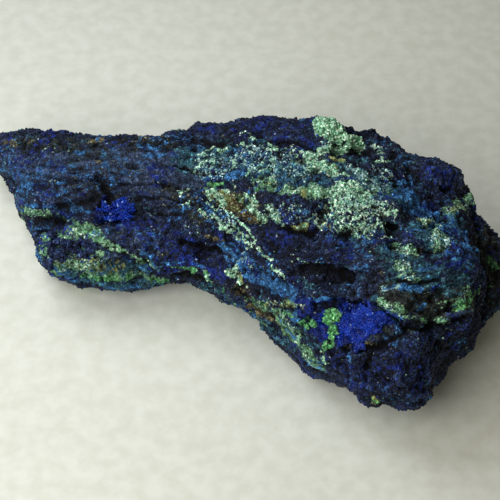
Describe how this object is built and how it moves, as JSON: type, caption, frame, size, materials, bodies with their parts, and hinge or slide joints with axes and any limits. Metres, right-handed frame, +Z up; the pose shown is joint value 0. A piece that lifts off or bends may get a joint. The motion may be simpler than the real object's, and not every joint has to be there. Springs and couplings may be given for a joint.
{
  "type": "azurite and malachite specimen",
  "caption": "Bent club-shaped mineral lump of dark azurite with malachite crusts, ledges and crystal-lined hollows, resting on its own low places.",
  "frame": {"origin": "middle of the lump's bounding box, on the level it rests on", "axes": "+X along the lump from its narrow arm to its broad body, -Y the side with the open hollows, +Z up"},
  "size_m": [0.1392, 0.0906, 0.0412],
  "materials": {
    "rock": "rough granular azurite with mint-green malachite crusts and brown iron-stained patches",
    "crystal_crust": "glossy bright blue azurite crystals"
  },
  "bodies": {
    "root": {"rock": "rock", "vug_crystals": "crystal_crust", "pocket_crystals": "crystal_crust"}
  },
  "joints": []
}
